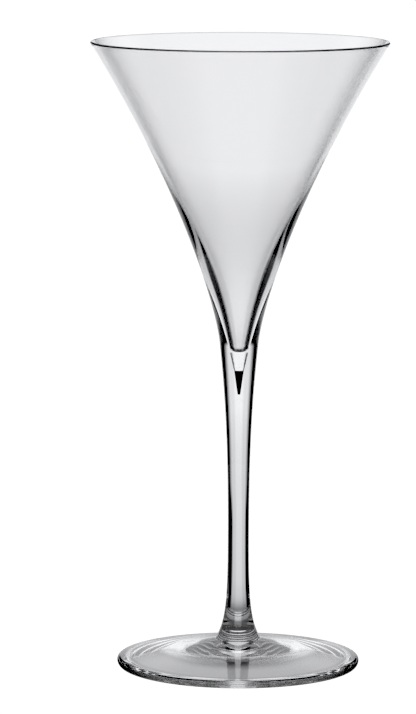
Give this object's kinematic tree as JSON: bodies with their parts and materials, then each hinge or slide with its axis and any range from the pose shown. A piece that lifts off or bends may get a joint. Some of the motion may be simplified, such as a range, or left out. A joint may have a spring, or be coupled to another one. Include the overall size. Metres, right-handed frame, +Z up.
{
  "type": "martini glass",
  "caption": "Tall stemmed cocktail glass: conical bowl on a thick base, tapering stem with a trapped teardrop of air, and a round foot.",
  "frame": {"origin": "centre of the circle that the foot rests on, on the resting plane", "axes": "+Z up along the glass's own axis of revolution, from the foot to the rim; +X and +Y are any two directions across it"},
  "size_m": [0.104, 0.104, 0.22],
  "materials": {
    "clear_crystal": "fire-polished, clear and colourless"
  },
  "bodies": {
    "root": {"bowl": "clear_crystal", "stem": "clear_crystal", "foot": "clear_crystal"}
  },
  "joints": []
}
